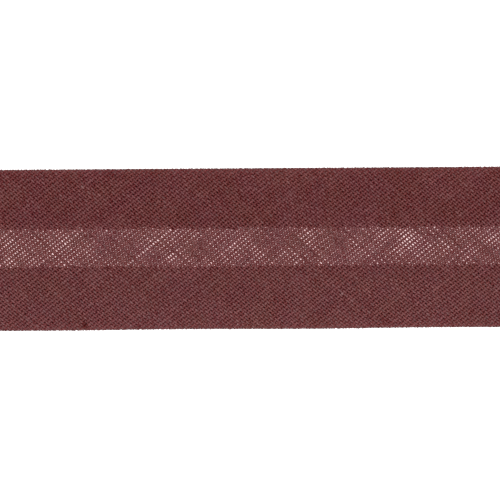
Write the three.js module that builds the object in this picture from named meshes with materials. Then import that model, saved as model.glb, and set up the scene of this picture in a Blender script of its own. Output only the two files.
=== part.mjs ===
// A cut length of bias binding tape: one strip of plain-woven cotton with both long edges turned under.
import * as THREE from 'three';

// Driving dimensions, in millimetres.
// X runs along the tape, Y across it and Z up from the surface on which it lies, right side up.
const tapeLength = 100;
const tapeWidth = 20;
const clothThickness = 1;
const layerGap = 0.35; // clear height between the right side's layer and a turned-under edge
const upperTurning = 7.4; // how far the edge at +Y is turned under
const lowerTurning = 7.8; // how far the edge at -Y is turned under
const creaseReach = 3; // how far in from each long edge the pressed crease rounds off
const creaseWall = 1.1; // cloth at the tip of a crease, outside the slit between the layers
const middleSag = 0.3; // how far the single layer sinks between the two turned-under edges

// Unevenness along the length.
const taperShare = 0.0055; // share of the width that is lost from one end of the tape to the other
const edgeWave = { height: 0.035, length: 32, start: 0.1 }; // wander of the long edge at -Y
const heightWave = { height: 0.09, length: 31, start: 2.1, slant: 0.8 }; // lift of the cloth
const lengthSteps = 28;
const arcSteps = 7;

const halfWidth = tapeWidth / 2;
const totalHeight = 2 * clothThickness + layerGap;
const midHeight = totalHeight / 2;
const creaseCentre = halfWidth - creaseReach;
const rawEdgeUpper = halfWidth - upperTurning;
const rawEdgeLower = -(halfWidth - lowerTurning);
// A cubic curve between two level ends sinks three quarters as far as its handles do.
const handleSag = middleSag / 0.75;
const wave = ({ height, length, start }, x) => height * Math.sin((2 * Math.PI * x) / length + start);

// The section of the tape, seen along its length: shape x is the tape's Y and shape y is its Z.
function tapeSection() {
  const undersideOfFace = clothThickness + layerGap;
  const third = (rawEdgeUpper - rawEdgeLower) / 3;
  const slitReach = creaseReach - creaseWall;
  const outline = new THREE.Shape();

  // Under the upper edge, round its crease and back across the right side to the lower edge.
  outline.moveTo(rawEdgeUpper, 0);
  outline.lineTo(creaseCentre, 0);
  outline.absellipse(creaseCentre, midHeight, creaseReach, midHeight, -Math.PI / 2, Math.PI / 2, false);
  outline.lineTo(rawEdgeUpper, totalHeight);
  outline.bezierCurveTo(
    rawEdgeUpper - third, totalHeight - handleSag,
    rawEdgeLower + third, totalHeight - handleSag,
    rawEdgeLower, totalHeight,
  );
  outline.lineTo(-creaseCentre, totalHeight);
  outline.absellipse(-creaseCentre, midHeight, creaseReach, midHeight, Math.PI / 2, Math.PI * 1.5, false);
  outline.lineTo(rawEdgeLower, 0);

  // Up over the lower edge's raw cut, along the slit, and back under the single layer.
  outline.lineTo(rawEdgeLower, clothThickness);
  outline.lineTo(-creaseCentre, clothThickness);
  outline.absellipse(-creaseCentre, midHeight, slitReach, layerGap / 2, Math.PI * 1.5, Math.PI / 2, true);
  outline.lineTo(rawEdgeLower, undersideOfFace);
  outline.bezierCurveTo(
    rawEdgeLower + third, undersideOfFace - handleSag,
    rawEdgeUpper - third, undersideOfFace - handleSag,
    rawEdgeUpper, undersideOfFace,
  );
  outline.lineTo(creaseCentre, undersideOfFace);
  outline.absellipse(creaseCentre, midHeight, slitReach, layerGap / 2, Math.PI / 2, -Math.PI / 2, true);
  outline.lineTo(rawEdgeUpper, clothThickness);
  outline.closePath();
  return outline;
}

// Moves the points of the straight tape: it tapers, its lower long edge wanders a little,
// and the cloth lifts and sinks along the length, while what lies on the surface stays flat.
function makeUneven(geometry) {
  const points = geometry.getAttribute('position');
  for (let i = 0; i < points.count; i += 1) {
    const x = points.getX(i);
    const y = points.getY(i);
    const z = points.getZ(i);
    const taper = taperShare * (0.5 + x / tapeLength);
    const wander = y < 0 ? wave(edgeWave, x) / halfWidth : 0;
    const lift = (z / totalHeight) * wave(heightWave, x + heightWave.slant * y);
    points.setXYZ(i, x, y * (1 - taper + wander), z + lift);
  }
}

function tapeGeometry() {
  const geometry = new THREE.ExtrudeGeometry(tapeSection(), {
    depth: tapeLength,
    steps: lengthSteps,
    curveSegments: arcSteps,
    bevelEnabled: false,
  });
  geometry.translate(0, 0, -tapeLength / 2);
  const alongX = new THREE.Vector3(1, 0, 0);
  const alongY = new THREE.Vector3(0, 1, 0);
  const alongZ = new THREE.Vector3(0, 0, 1);
  geometry.applyMatrix4(new THREE.Matrix4().makeBasis(alongY, alongZ, alongX));
  makeUneven(geometry);
  geometry.computeVertexNormals();
  return geometry;
}

const wineCotton = new THREE.MeshStandardMaterial({
  color: new THREE.Color(0x6e4041),
  roughness: 0.95,
  metalness: 0,
});

const tape = new THREE.Mesh(tapeGeometry(), wineCotton);
tape.name = 'bias_tape';

const group = new THREE.Group();
group.add(tape);

export default group;
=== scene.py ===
import math

import bmesh
import bpy
import numpy as np
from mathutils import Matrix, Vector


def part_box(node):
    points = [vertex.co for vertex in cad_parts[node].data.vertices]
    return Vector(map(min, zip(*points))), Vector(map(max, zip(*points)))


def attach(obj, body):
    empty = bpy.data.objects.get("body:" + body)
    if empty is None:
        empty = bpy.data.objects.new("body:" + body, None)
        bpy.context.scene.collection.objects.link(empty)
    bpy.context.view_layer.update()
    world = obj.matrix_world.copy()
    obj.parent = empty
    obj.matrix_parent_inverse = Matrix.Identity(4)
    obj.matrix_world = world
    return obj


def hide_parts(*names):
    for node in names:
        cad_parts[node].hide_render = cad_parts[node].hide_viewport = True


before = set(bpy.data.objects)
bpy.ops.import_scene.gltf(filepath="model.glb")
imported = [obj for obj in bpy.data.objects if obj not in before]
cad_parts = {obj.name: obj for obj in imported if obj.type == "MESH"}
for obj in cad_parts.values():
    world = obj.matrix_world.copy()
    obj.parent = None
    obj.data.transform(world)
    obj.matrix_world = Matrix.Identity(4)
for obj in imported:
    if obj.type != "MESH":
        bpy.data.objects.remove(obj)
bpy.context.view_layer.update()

mm = 0.001
fullTurn = 2 * math.pi
low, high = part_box("bias_tape")

# The tape as it lies, right side up: X along it, Y across it, Z up.
tape = {
    "length": high.x - low.x,
    "width": 20.25 * mm,          # over the crowns of the threads
    "height": 2.35 * mm,
    "creaseReach": 3.0 * mm,      # how far in from each long edge the crease rounds off
    "upperTurning": 7.5 * mm,     # the edge turned under at +Y
    "lowerTurning": 7.9 * mm,     # the edge turned under at -Y
    "middleSag": 0.3 * mm,        # of the single layer
    "taperShare": 0.0055,         # of the width, lost from one end to the other
    "edgeWave": (0.035 * mm, 32 * mm, 0.1),  # of the lower edge: height, length and start
    "heightWave": (0.09 * mm, 31 * mm, 2.1),
    "waveSlant": 0.8,
}

# A setting whose name starts with "side" has a value for each of these places across the tape: the
# lower side, the lower and the upper rim of the middle, and the upper side. In between it blends.
sidePlaces = np.array([-3.2, -2.2, 2.6, 3.6]) * mm

# The two sets of threads. An angle is from the tape's length.
warp = {
    "name": "warp_threads",
    "pitch": 0.3296 * mm,
    "angle": math.radians(-41.4),
    "width": 0.262 * mm,
    "sideWidth": (1.05, 0.992, 0.992, 1.08),
    "turnedUnder": 1.30,          # the pressed turnings are flatter, so their threads are wider
    "thickness": 0.155 * mm,
    "crimp": 0.077 * mm,          # how far the thread rises and falls from the cloth's middle
    "float": 0.31,                # half a float's flat top, as a share of the other set's pitch
    "pairing": 0.030,             # by turns a thread lies this share of the pitch up or down
    "tone": 1.08,
    "seed": 17,
}
weft = {
    "name": "weft_threads",
    "pitch": 0.4856 * mm,
    "angle": math.radians(38.2),
    "width": 0.338 * mm,
    "sideWidth": (1.14, 1.006, 1.006, 1.19),
    "turnedUnder": 1.15,
    "thickness": 0.120 * mm,
    "crimp": 0.070 * mm,
    "float": 0.25,
    "pairing": 0.01,
    "tone": 0.955,
    "seed": 23,
}
cloth = {
    "thickness": 0.35 * mm,       # room for both sets of threads, over their crowns
    "jitter": 0.040,              # of each thread's place, as a share of its pitch
    "wander": 0.035,              # slow drift along a thread, as a share of its pitch
    "wanderLength": 9 * mm,
    "wanderStep": (17.3, 5.1),    # how far apart in the noise two threads lie, mm in x and y
    "bow": 0.08 * mm,             # slow waviness of the whole weave, along one diagonal
    "sideBow": (0.02 * mm, 0.02 * mm, 0.02 * mm, 0.055 * mm),  # and along the other
    "bowLength": 26 * mm,
    "widthSpread": 0.055,         # from thread to thread
    "slub": 0.08,                 # thick and thin places along a thread
    "slubLength": 3.0 * mm,
    "slubStep": 31,               # how far apart in the noise two threads lie, mm
    "patch": 0.03,                # closer and more open patches of the weave
    "patchLength": 4.0 * mm,
    "sideCrimp": (1.0, 1.0, 1.0, 0.85),
    "crimpSpread": 0.12,          # from crossing to crossing
    "knotSpread": 0.035,          # of the width, from crossing to crossing
    "knotTone": 0.05,             # of the tone, from crossing to crossing
    "mostUneven": 2,              # how many times these spreads a crossing may be off
    "underFrom": 0.8,             # where turnedUnder sets in, in crease reaches past turnStart
    "endPress": 0.16,             # the threads spread where the tape was cut
    "endFade": 3 * mm,            # how far that takes to come in
    "endFrom": 1.3,               # where it starts, in such lengths before the cut
    "fray": 0.12 * mm,            # how unevenly the threads end at a cut
    "frayRoom": 1.0 * mm,         # how far the fold goes on past the raw edge, for longer threads
    "toneSpread": 0.040,          # from thread to thread
    "toneAlong": 0.11,            # along a thread
    "streakLength": 0.6 * mm,
    "streakStep": 57,             # how far apart in the noise two threads lie, mm
    "mottle": 0.022,              # over the cloth
    "mottleLength": 8 * mm,
    "sideTone": (1.01, 1.030, 1.030, 0.900),
}

# What starts each noise over the cloth, and what a set's noises and draws add to its own seed.
clothSeeds = {"bow": 5, "sideBow": 6, "patch": 41, "mottle": 43}
seedSteps = {"wander": 1, "slub": 3, "streak": 4, "spread": 7}

# The photo as it lies on the tape, and how to get from its pixels to a place there.
photo = {
    "width": 62.4 * mm,
    "pixels": 500,                # across it, and down it
    "across": -0.18 * mm,         # where its middle is
    "slant": math.radians(0.42),  # the tape rises this much to the right in it
}

# Where the single layer shows thinner or closer than the rest, charted off the enlarged photo:
# pixels to the right, down and in radius, and how much wider the threads are.
patchChart = np.array([
    (10, 262, 5, -0.20), (10, 245, 10, -0.12), (33, 260, 8, -0.12), (64, 242, 16, -0.16),
    (89, 235, 6, 0.08), (89, 251, 5, -0.12), (97, 259, 5, -0.14), (105, 264, 5, -0.16),
    (105, 231, 4, -0.12), (104, 245, 9, 0.16), (112, 236, 6, 0.12), (135, 234, 8, -0.12),
    (132, 249, 8, 0.08), (150, 247, 5, -0.12), (153, 258, 7, 0.14), (171, 257, 6, -0.22),
    (171, 232, 9, -0.12), (186, 257, 5, -0.10), (190, 234, 8, -0.08), (198, 248, 9, 0.20),
    (206, 254, 6, 0.12), (207, 239, 5, 0.10), (212, 261, 6, -0.10), (226, 232, 8, -0.08),
    (233, 248, 12, -0.12), (256, 253, 8, -0.16), (264, 257, 6, -0.10), (275, 235, 10, 0.05),
    (295, 238, 9, 0.12), (296, 259, 4, -0.12), (309, 234, 7, -0.16), (315, 243, 6, -0.14),
    (314, 252, 6, 0.16), (320, 259, 4, -0.12), (339, 238, 9, 0.16), (342, 254, 7, 0.12),
    (360, 250, 9, -0.12), (382, 235, 8, -0.10), (385, 245, 4, 0.12), (400, 248, 7, -0.20),
    (403, 231, 7, -0.22), (411, 239, 8, -0.22), (422, 245, 12, -0.12), (432, 259, 8, 0.08),
    (440, 236, 6, 0.12), (468, 253, 9, -0.14), (476, 243, 6, 0.12), (476, 231, 5, -0.14),
    (488, 254, 7, 0.14), (492, 239, 7, -0.20),
])


# The charted patches as x, y and radius in mm, to a tenth, and how much wider the threads are.
def placePatches():
    right, down, radius, wider = patchChart.T
    perPixel = photo["width"] / photo["pixels"]
    beside = (right - photo["pixels"] / 2) * perPixel
    above = (photo["pixels"] / 2 - down) * perPixel
    cosine, sine = math.cos(photo["slant"]), math.sin(photo["slant"])
    x = beside * cosine + above * sine
    y = photo["across"] - beside * sine + above * cosine
    sizes = np.column_stack([x, y, radius * perPixel])
    return np.column_stack([np.round(sizes / mm, 1), wider])


sheerPatches = placePatches()

# Specks of pale fibre and dark smudges: x, y and radius in mm, and how pale or dark the middle is.
specks = np.array([
    (-23.5, 6.6, 0.14, 0.7), (-20.8, 7.8, 0.14, 0.6), (-13.8, 6.2, 0.14, 0.5), (6.6, -8.5, 0.16, 0.8),
    (11.4, -5.7, 0.14, 0.6), (-35.2, -7.1, 0.14, 0.6), (38.4, 5.2, 0.15, 0.6),
])
smudges = np.array([(-20.6, -9.5, 0.34, -0.7), (-17.7, -2.2, 0.25, -0.7)])


# The sum of soft round spots at the given places.
def spots(table, x, y):
    total = np.zeros_like(x)
    for spotX, spotY, radius, amount in table * (mm, mm, mm, 1):
        total += amount * np.exp(-((x - spotX) ** 2 + (y - spotY) ** 2) / radius ** 2)
    return total


def wave(settings, x):
    height, length, start = settings
    return height * np.sin(fullTurn * x / length + start)


# The plain waves that softNoise adds up: the fastest have the shortest hills. Their sum seldom goes
# past the peak.
softWaves = {"count": 9, "slowest": 0.6, "fastest": 1.7, "peak": 1.6}


# About -1 to 1, with hills of about the given length.
def softNoise(x, y, length, seed):
    rng = np.random.default_rng(seed)
    least = (0, 0, softWaves["slowest"])
    most = (fullTurn, fullTurn, softWaves["fastest"])
    total = np.zeros_like(x)
    for turn, phase, scale in rng.uniform(least, most, (softWaves["count"], 3)):
        along = x * math.cos(turn) + y * math.sin(turn)
        total += np.sin(fullTurn * scale / length * along + phase)
    return total / math.sqrt(softWaves["count"] / 2) / softWaves["peak"]


# The cloth's middle surface seen along the tape, from the middle of the right side out over one
# crease and back underneath past the raw edge.
def foldPath(turning, steps=400):
    half = tape["width"] / 2
    flatRun = half - tape["creaseReach"]
    inset = cloth["thickness"] / 2
    reach, rise = tape["creaseReach"] - inset, tape["height"] / 2 - inset
    turn = np.linspace(math.pi / 2, -math.pi / 2, steps)
    rawEdge = half - turning
    creaseY = flatRun + reach * np.cos(turn)
    creaseZ = tape["height"] / 2 + rise * np.sin(turn)
    y = np.concatenate([[0], creaseY, [rawEdge, rawEdge - cloth["frayRoom"]]])
    z = np.concatenate([[tape["height"] - inset], creaseZ, [inset, inset]])
    normalY, normalZ = np.cos(turn) * rise, np.sin(turn) * reach
    size = np.hypot(normalY, normalZ)
    normalY = np.concatenate([[0], normalY / size, [0, 0]])
    normalZ = np.concatenate([[1], normalZ / size, [-1, -1]])
    away = np.concatenate([[0], np.cumsum(np.hypot(np.diff(y), np.diff(z)))])
    return {"away": away, "y": y, "z": z, "normalY": normalY, "normalZ": normalZ}


upperFold = foldPath(tape["upperTurning"])
lowerFold = foldPath(tape["lowerTurning"])
flatUpper = upperFold["away"][-2]
flatLower = lowerFold["away"][-2]
turnStart = tape["width"] / 2 - tape["creaseReach"]


# Flat cloth, as along, across and above it, to the folded tape.
def foldPoints(flat):
    along, across, above = flat.T
    away = np.abs(across)
    y, z, normalY, normalZ = np.empty((4, len(flat)))
    for fold, mine in ((upperFold, across >= 0), (lowerFold, across < 0)):
        for values, key in ((y, "y"), (z, "z"), (normalY, "normalY"), (normalZ, "normalZ")):
            values[mine] = np.interp(away[mine], fold["away"], fold[key])
    y = np.sign(across) * (y + normalY * above)
    z = z + normalZ * above
    half = tape["width"] / 2
    rawUpper, rawLower = half - tape["upperTurning"], tape["lowerTurning"] - half
    fromMiddle = (y - (rawUpper + rawLower) / 2) / ((rawUpper - rawLower) / 2)
    sag = tape["middleSag"] * np.clip(1 - fromMiddle ** 2, 0, 1) ** 2
    z = np.where(away < turnStart, z - sag, z)
    share = 1 - tape["taperShare"] * (0.5 + along / tape["length"])
    share += np.where(y < 0, wave(tape["edgeWave"], along) / half, 0)
    lift = z / tape["height"] * wave(tape["heightWave"], along + tape["waveSlant"] * y)
    return np.stack([along, y * share, np.maximum(z + lift, 0)], axis=1)


# The weave, laid out flat. A place in it is a weft count and a warp count.
def countVector(threads):
    across = threads["angle"] + math.pi / 2
    return np.array([math.cos(across), math.sin(across)]) / threads["pitch"]


countOf = np.array([countVector(weft), countVector(warp)])
placeOf = np.linalg.inv(countOf)

# Across the tape the weave is eased a little in the middle and packed on the lower side.
easeTape = np.array([-20, -2.2, 2.6, 20]) * mm
easeShare = np.array([1.035, 0.968, 1.0])
easeCloth = np.concatenate([[0], np.cumsum(np.diff(easeTape) * easeShare)])
easeCloth -= np.interp(0, easeTape, easeCloth)


def clothPoint(weftAt, warpAt):
    x, y = placeOf @ np.stack([weftAt, warpAt])
    bow = cloth["bow"] * softNoise(x, y, cloth["bowLength"], clothSeeds["bow"])
    sway = np.interp(y, sidePlaces, cloth["sideBow"])
    sway *= softNoise(x, y, cloth["bowLength"], clothSeeds["sideBow"])
    return x + bow + sway, np.interp(y - bow + sway, easeCloth, easeTape)


middleThread = 1000  # where a set's thread 0 stands in its row of random draws


# How far a thread lies from its even place, as a share of its pitch.
def threadShift(threads, number, x, y):
    own = np.random.default_rng(threads["seed"]).normal(0, cloth["jitter"], 2 * middleThread)
    stepX, stepY = cloth["wanderStep"]
    seed = threads["seed"] + seedSteps["wander"]
    drift = softNoise(x + number * stepX * mm, y + number * stepY * mm, cloth["wanderLength"], seed)
    paired = threads["pairing"] * (1 - 2 * (number % 2))
    return own[number + middleThread] + cloth["wander"] * drift + paired


leastShare = 0.05  # of the way to the point past the edge, so that no two points coincide


# A thread cut off where it leaves the strip, given how far past the edge each point is.
def cutThread(thread, past):
    inside = np.flatnonzero(past < 0)
    if len(inside) < 2:
        return None
    first, last = inside[0], inside[-1]
    ends = []
    for inner, outer in ((first, first - 1), (last, last + 1)):
        share = max(leastShare, past[inner] / (past[inner] - past[outer]))
        ends.append(thread[inner] + share * (thread[outer] - thread[inner]))
    return np.vstack([ends[0], thread[first:last + 1], ends[1]])


# How many times its plain width a thread has at each point.
def threadWidth(threads, number, ownWidth, uneven, x, y):
    slubAt = x + number * cloth["slubStep"] * mm
    slub = softNoise(slubAt, y, cloth["slubLength"], threads["seed"] + seedSteps["slub"])
    patch = softNoise(x, y, cloth["patchLength"], clothSeeds["patch"])
    under = np.clip((np.abs(y) - turnStart) / tape["creaseReach"] - cloth["underFrom"], 0, 1)
    pressed = np.clip((np.abs(x) - tape["length"] / 2) / cloth["endFade"] + cloth["endFrom"], 0, 1)
    width = ownWidth * (1 + cloth["slub"] * slub) * (1 + cloth["patch"] * patch)
    width *= (1 + spots(sheerPatches, x, y)) * (1 + cloth["knotSpread"] * uneven)
    width *= (1 + (threads["turnedUnder"] - 1) * under) * np.interp(y, sidePlaces, threads["sideWidth"])
    return width * (1 + cloth["endPress"] * pressed)


def threadTone(threads, number, ownTone, uneven, x, y):
    streakAt = x + number * cloth["streakStep"] * mm
    streak = softNoise(streakAt, y, cloth["streakLength"], threads["seed"] + seedSteps["streak"])
    mottle = softNoise(x, y, cloth["mottleLength"], clothSeeds["mottle"])
    tone = threads["tone"] * ownTone
    tone = tone * (1 + cloth["toneAlong"] * streak) * (1 + cloth["mottle"] * mottle)
    tone *= (1 + spots(smudges, x, y)) * np.interp(y, sidePlaces, cloth["sideTone"])
    return tone * (1 + cloth["knotTone"] * uneven)


# The points, widths and tones of each thread of a set, in order across the cloth.
def layThreads(threads, crossing):
    isWarp = threads is warp
    mine, other = (1, 0) if isWarp else (0, 1)
    half = tape["length"] / 2
    corners = [(x, y) for x in (-half, half) for y in (-flatLower, flatUpper)]
    counts = countOf @ np.array(corners).T
    spare = 2  # threads past each corner
    numbers = range(int(counts[mine].min()) - spare, int(counts[mine].max()) + spare + 1)
    crossings = np.arange(int(counts[other].min()) - spare - 1, int(counts[other].max()) + spare + 2)
    rng = np.random.default_rng(threads["seed"] + seedSteps["spread"])
    laid = []
    for number in numbers:
        ownWidth = 1 + cloth["widthSpread"] * rng.normal()
        ownTone = 1 + cloth["toneSpread"] * rng.normal()
        fray = cloth["fray"] * rng.uniform(-1, 1, 2)
        uneven = rng.normal(size=(3, len(crossings)))
        uneven = np.repeat(np.clip(uneven, -cloth["mostUneven"], cloth["mostUneven"]), 2, axis=1)

        at = np.repeat(crossings, 2)
        step = np.tile([-threads["float"], threads["float"]], len(crossings))
        own = np.full(at.shape, number)
        plain = placeOf @ (np.stack([at, own]) if isWarp else np.stack([own, at]))
        acrossCount = own + threadShift(threads, own, *plain)
        alongCount = at + step + threadShift(crossing, at, *plain)
        x, y = clothPoint(*((alongCount, acrossCount) if isWarp else (acrossCount, alongCount)))
        over = np.where((at + own + isWarp) % 2 == 0, 1.0, -1.0)
        z = over * threads["crimp"] * (1 + cloth["crimpSpread"] * uneven[0])
        z *= np.interp(y, sidePlaces, cloth["sideCrimp"])

        width = threadWidth(threads, number, ownWidth, uneven[1], x, y)
        tone = threadTone(threads, number, ownTone, uneven[2], x, y)
        pastEnd = np.abs(x) - half + fray[0]
        pastRaw = np.maximum(y - flatUpper, -y - flatLower) + fray[1]
        thread = np.stack([x, y, z, width, tone, spots(specks, x, y)], axis=1)
        cut = cutThread(thread, np.maximum(pastEnd, pastRaw))
        if cut is not None:
            laid.append({"points": cut[:, :3], "width": cut[:, 3], "tone": cut[:, 4], "pale": cut[:, 5]})
    return laid


sectionCorners = 4


# The threads as one curve with a flat four-cornered section, made a mesh.
def spinThreads(name, threads, laid):
    halfWidth, halfThick = threads["width"] / 2, threads["thickness"] / 2
    corners = ((0, halfThick), (-halfWidth, 0), (0, -halfThick), (halfWidth, 0))
    section = bpy.data.curves.new(name + "_section", "CURVE")
    outline = section.splines.new("POLY")
    outline.points.add(sectionCorners - 1)
    for point, (across, up) in zip(outline.points, corners):
        point.co = (across, up, 0, 1)
    outline.use_cyclic_u = True
    sectionHolder = bpy.data.objects.new(name + "_section", section)
    bpy.context.scene.collection.objects.link(sectionHolder)

    curve = bpy.data.curves.new(name + "_curve", "CURVE")
    curve.dimensions = "3D"
    curve.twist_mode = "Z_UP"
    curve.bevel_mode = "OBJECT"
    curve.bevel_object = sectionHolder
    for thread in laid:
        count = len(thread["width"])
        places = np.column_stack([thread["points"], np.ones(count)])
        spline = curve.splines.new("POLY")
        spline.points.add(count - 1)
        spline.points.foreach_set("co", places.ravel())
        spline.points.foreach_set("radius", thread["width"])
    curveHolder = bpy.data.objects.new(name + "_curve", curve)
    bpy.context.scene.collection.objects.link(curveHolder)
    evaluated = curveHolder.evaluated_get(bpy.context.evaluated_depsgraph_get())
    mesh = bpy.data.meshes.new_from_object(evaluated)
    mesh.name = name
    bpy.data.objects.remove(curveHolder)
    bpy.data.objects.remove(sectionHolder)
    return mesh


# Gives each point its height in the weave, its tone and how pale it is, and makes each thread's UV map
# run along it in millimetres.
def markThreads(mesh, laid, rise):
    mesh.attributes.new("rise", "FLOAT", "POINT").data.foreach_set("value", rise / mm)
    for name in ("tone", "pale"):
        values = np.repeat(np.concatenate([thread[name] for thread in laid]), sectionCorners)
        mesh.attributes.new(name, "FLOAT", "POINT").data.foreach_set("value", values)
    uv = np.empty(len(mesh.loops) * 2)
    mesh.uv_layers[0].data.foreach_get("uv", uv)
    uv = uv.reshape(-1, 2)
    start = 0
    for thread in laid:
        loops = (len(thread["width"]) - 1) * sectionCorners * 4  # four to a face
        length = np.linalg.norm(np.diff(thread["points"], axis=0), axis=1).sum() / mm
        uv[start:start + loops, 0] *= length
        start += loops
    mesh.uv_layers[0].data.foreach_set("uv", uv.ravel())


def closeEnds(mesh):
    bm = bmesh.new()
    bm.from_mesh(mesh)
    openEdges = [edge for edge in bm.edges if edge.is_boundary]
    bmesh.ops.holes_fill(bm, edges=openEdges, sides=sectionCorners)
    bmesh.ops.recalc_face_normals(bm, faces=bm.faces)
    for face in bm.faces:
        face.smooth = True
    bm.to_mesh(mesh)
    bm.free()


# A set of threads in two pieces with about as many points each.
def weave(threads, crossing, material):
    laid = layThreads(threads, crossing)
    counted = np.cumsum([len(thread["width"]) for thread in laid])
    split = int(np.searchsorted(counted, counted[-1] / 2))
    for part, chosen in (("left", laid[:split]), ("right", laid[split:])):
        name = threads["name"] + "_" + part
        mesh = spinThreads(name, threads, chosen)
        flat = np.empty(len(mesh.vertices) * 3)
        mesh.vertices.foreach_get("co", flat)
        flat = flat.reshape(-1, 3)
        markThreads(mesh, chosen, np.ascontiguousarray(flat[:, 2]))
        mesh.vertices.foreach_set("co", foldPoints(flat).ravel())
        closeEnds(mesh)
        mesh.materials.clear()
        mesh.materials.append(material)
        piece = bpy.data.objects.new(name, mesh)
        bpy.context.scene.collection.objects.link(piece)
        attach(piece, "root")
        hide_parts("bias_tape")
        triangles = sum(len(face.vertices) - 2 for face in mesh.polygons)
        print("stage:", name, len(chosen), "threads", triangles, "triangles")


# Adds a node whose inputs are links or plain values.
def addNode(tree, kind, inputs, **settings):
    node = tree.nodes.new("ShaderNode" + kind)
    for name, value in settings.items():
        setattr(node, name, value)
    for socket, value in inputs.items():
        if isinstance(value, bpy.types.NodeSocket):
            tree.links.new(value, node.inputs[socket])
        else:
            node.inputs[socket].default_value = value
    return node


def attribute(tree, name):
    return addNode(tree, "Attribute", {}, attribute_name=name).outputs["Fac"]


def combined(tree, operation, *values):
    return addNode(tree, "Math", dict(enumerate(values)), operation=operation).outputs[0]


def ranged(tree, value, source, target, **settings):
    inputs = {"Value": value, "From Min": source[0], "From Max": source[1]}
    inputs.update({"To Min": target[0], "To Max": target[1]})
    return addNode(tree, "MapRange", inputs, **settings).outputs["Result"]


def mixed(tree, factor, first, second):
    inputs = {"Factor": factor, "A": first, "B": second}
    return addNode(tree, "Mix", inputs, data_type="RGBA").outputs["Result"]


cotton = {
    # painted shade in the pits and painted sheen on the crowns, mixed by height in the weave
    "pitShadeColour": (0.136, 0.0250, 0.0256, 1),
    "crownSheenColour": (0.101, 0.0402, 0.0408, 1),
    "toneColour": (0.110, 0.055, 0.055),  # what a lighter thread has more of
    "darkest": (0.008, 0.003, 0.003),  # no tone goes below it
    "paleColour": (0.30, 0.19, 0.19, 1),
    "roughness": 0.65,
    "sheen": (0.10, 0.28),        # specular level in the pits and on the crowns of the threads
    "crown": (-0.02, 0.153),      # heights in the weave where it starts and is full, mm
    "crownSharpness": 2.0,
    "fibreScale": 6000,
    "fibreDepth": 0.42,           # how much of its tone a fibre gains or loses
    "hueScale": 350,
    "hueSpread": (0.4953, 0.5047),  # at 0.5 the hue stays
    "noiseRange": (0.3, 0.7),     # what the noise textures give, but for a few points
}


def cottonMaterial():
    material = bpy.data.materials.new("wine_cotton")
    material.use_nodes = True
    tree = material.node_tree
    shader = tree.nodes["Principled BSDF"]
    shader.inputs["Roughness"].default_value = cotton["roughness"]
    place = addNode(tree, "TexCoord", {}).outputs["Object"]

    # Painted light by height in the weave: the pits get the deeper red of shade and of light bounced
    # between the threads, and the crowns a greyer painted sheen. The crowns also get a higher specular
    # level than the pits.
    crown = ranged(tree, attribute(tree, "rise"), cotton["crown"], (0, 1))
    ridge = combined(tree, "POWER", crown, cotton["crownSharpness"])
    sheen = ranged(tree, ridge, (0, 1), cotton["sheen"])
    tree.links.new(sheen, shader.inputs["Specular IOR Level"])
    shadeAndSheen = mixed(tree, ridge, cotton["pitShadeColour"], cotton["crownSheenColour"])

    # Tone and fibres add colour or take it away.
    noise = {"Vector": place, "Scale": cotton["fibreScale"], "Detail": 2}
    fibres = addNode(tree, "TexNoise", noise).outputs["Fac"]
    fibreTone = (1 - cotton["fibreDepth"], 1 + cotton["fibreDepth"])
    spread = ranged(tree, fibres, cotton["noiseRange"], fibreTone)
    strength = combined(tree, "MULTIPLY", attribute(tree, "tone"), spread)
    extra = combined(tree, "SUBTRACT", strength, 1)
    inputs = {0: cotton["toneColour"], 1: extra, 2: shadeAndSheen}
    toned = addNode(tree, "VectorMath", inputs, operation="MULTIPLY_ADD").outputs[0]
    inputs = {0: toned, 1: cotton["darkest"]}
    floored = addNode(tree, "VectorMath", inputs, operation="MAXIMUM").outputs[0]

    # Faint patches of another hue, and the specks of pale fibre.
    noise = {"Vector": place, "Scale": cotton["hueScale"], "Detail": 1}
    patches = addNode(tree, "TexNoise", noise).outputs["Fac"]
    hue = ranged(tree, patches, cotton["noiseRange"], cotton["hueSpread"])
    colour = addNode(tree, "HueSaturation", {"Hue": hue, "Color": floored}).outputs[0]
    speckled = mixed(tree, attribute(tree, "pale"), colour, cotton["paleColour"])
    tree.links.new(speckled, shader.inputs["Base Color"])
    return material


wineCotton = cottonMaterial()
weave(warp, weft, wineCotton)
weave(weft, warp, wineCotton)

studio = {
    "floorSize": 3,               # half its side, m
    "floorRoughness": 0.7,
    "floorColour": (0.85, 0.85, 0.85, 1),
    "floorGlow": (0.35, 0.35, 0.35, 1),
    "shadeAcross": (8.2 * mm, 10.7 * mm),   # painted shadow: the floor's glow fades out under the tape's long edges, and by shadeAlong under its ends
    "shadeAlong": (48.5 * mm, 50.5 * mm),
    "throughGlow": (0.63, 0.351, 0.348, 1),  # painted light: the floor glows pink under the single layer, for light that falls through it
    "throughMiddle": 0.25 * mm,
    "throughAcross": (2.9 * mm, 2.4 * mm),
    "throughAlong": (45 * mm, 34 * mm),
    "surround": 0.25,
    "overheadSize": 0.35,
    "overheadHeight": 2.0,
    "overheadPower": 57,
}


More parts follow.
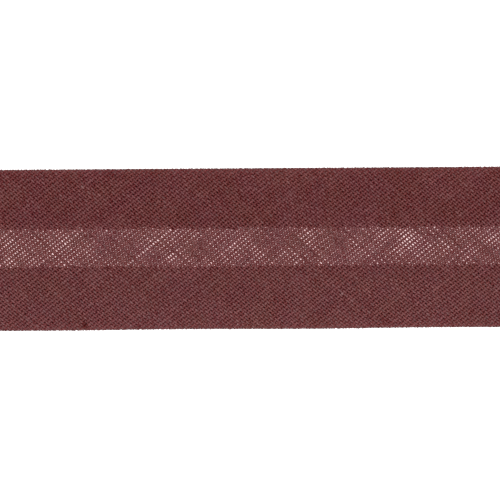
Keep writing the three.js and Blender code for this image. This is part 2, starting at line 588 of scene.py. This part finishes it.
def glowingFloor():
    material = bpy.data.materials.new("pale_floor")
    material.use_nodes = True
    tree = material.node_tree
    shader = tree.nodes["Principled BSDF"]
    shader.inputs["Base Color"].default_value = studio["floorColour"]
    shader.inputs["Roughness"].default_value = studio["floorRoughness"]
    shader.inputs["Emission Strength"].default_value = 1
    place = addNode(tree, "TexCoord", {}).outputs["Object"]
    apart = addNode(tree, "SeparateXYZ", {0: place})

    # 0 before the span and 1 past it, by how far a point is from the middle.
    def rise(axis, middle, span):
        away = combined(tree, "ABSOLUTE", combined(tree, "SUBTRACT", apart.outputs[axis], middle))
        return ranged(tree, away, span, (0, 1), interpolation_type="SMOOTHSTEP")

    # Painted shadow: the floor's glow is cut out under the tape and fades back in past its long edges
    # and its ends.
    besideAcross = rise("Y", 0.0, studio["shadeAcross"])
    beside = combined(tree, "MAXIMUM", rise("X", 0.0, studio["shadeAlong"]), besideAcross)
    # Painted light: under the single middle layer the floor glows pink, for light that falls through the
    # red cloth.
    across = rise("Y", studio["throughMiddle"], studio["throughAcross"])
    single = combined(tree, "MULTIPLY", rise("X", 0.0, studio["throughAlong"]), across)
    glow = mixed(tree, beside, (0, 0, 0, 1), studio["floorGlow"])
    glow = mixed(tree, single, glow, studio["throughGlow"])
    tree.links.new(glow, shader.inputs["Emission Color"])
    return material


def paleFloor():
    mesh = bpy.data.meshes.new("floor")
    bm = bmesh.new()
    bmesh.ops.create_grid(bm, x_segments=1, y_segments=1, size=studio["floorSize"])
    bm.to_mesh(mesh)
    bm.free()
    mesh.materials.append(glowingFloor())
    floor = bpy.data.objects.new("floor", mesh)
    bpy.context.scene.collection.objects.link(floor)


def softLight(name, place, size, power):
    lamp = bpy.data.lights.new(name, "AREA")
    lamp.size = size
    lamp.energy = power
    light = bpy.data.objects.new(name, lamp)
    light.location = place
    light.rotation_euler = (-light.location).to_track_quat("-Z", "Y").to_euler()
    light.visible_camera = False
    bpy.context.scene.collection.objects.link(light)


def plainWorld():
    world = bpy.data.worlds.new("studio")
    bpy.context.scene.world = world
    world.use_nodes = True
    background = world.node_tree.nodes["Background"]
    background.inputs["Color"].default_value = (1, 1, 1, 1)
    background.inputs["Strength"].default_value = studio["surround"]


paleFloor()
plainWorld()
softLight("overhead", (0, 0, studio["overheadHeight"]), studio["overheadSize"], studio["overheadPower"])
print("stage: floor and light")

# The camera looks straight down, and the tape rises a little to the right in its picture.
shot = {
    "lens": 400,
    "sensor": 36,
    "turn": math.radians(-0.40),
    "nearest": 0.01,
}
camera = bpy.data.cameras.new("camera")
camera.lens = shot["lens"]
camera.sensor_width = shot["sensor"]
camera.clip_start = shot["nearest"]
viewer = bpy.data.objects.new("camera", camera)
viewer.location = (0, photo["across"], photo["width"] * shot["lens"] / shot["sensor"])
viewer.rotation_euler = (0, 0, shot["turn"])
bpy.context.scene.collection.objects.link(viewer)
bpy.context.scene.camera = viewer
bpy.context.scene.view_settings.view_transform = "Standard"
print("stage: camera")
